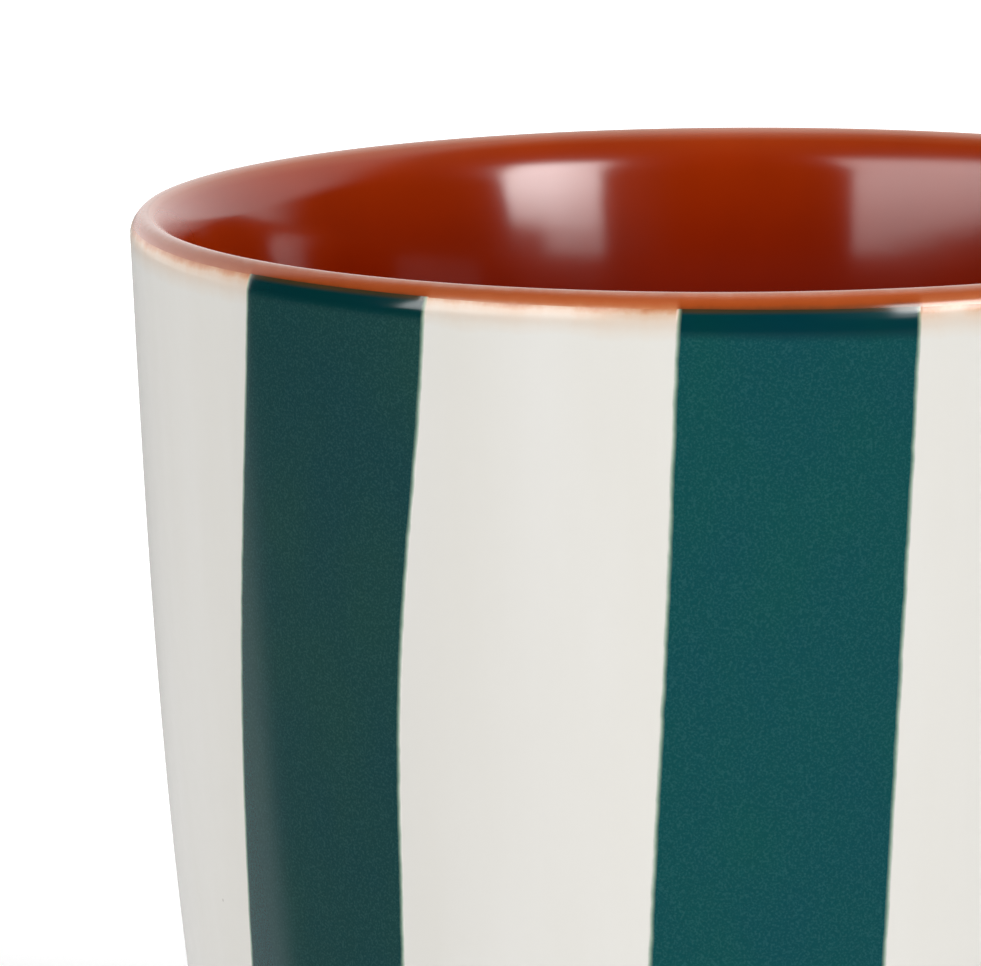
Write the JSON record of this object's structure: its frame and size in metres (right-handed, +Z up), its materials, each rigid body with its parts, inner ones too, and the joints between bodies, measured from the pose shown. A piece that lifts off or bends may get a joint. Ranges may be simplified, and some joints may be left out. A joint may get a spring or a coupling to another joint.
{
  "type": "ceramic mug",
  "caption": "Tapered red-clay mug with a rust-glazed inside and lip, white slip outside, broad hand-painted teal stripes and a strap handle.",
  "frame": {"origin": "centre of the flat face the mug stands on, on the cup's axis", "axes": "+Z up the cup's axis towards the lip, +X towards the handle, -Y is the front face of the cup with the handle on the right"},
  "size_m": [0.1198, 0.086, 0.09],
  "materials": {
    "clay": "bare fired red earthenware, matte",
    "rust_glaze": "smooth high gloss, deep rust over red clay",
    "white_slip": "warm off-white slip under clear gloss glaze",
    "teal_paint": "dark teal underglaze paint, gloss with a fine speckle"
  },
  "bodies": {
    "root": {"cup_body": "clay", "handle": "clay", "handle_joint_upper": "clay", "handle_joint_lower": "clay", "inside_glaze": "rust_glaze", "outside_slip": "white_slip", "handle_slip": "white_slip", "stripe_1": "teal_paint", "stripe_2": "teal_paint", "stripe_3": "teal_paint", "stripe_4": "teal_paint", "stripe_5": "teal_paint", "stripe_6": "teal_paint", "stripe_7": "teal_paint"}
  },
  "joints": []
}
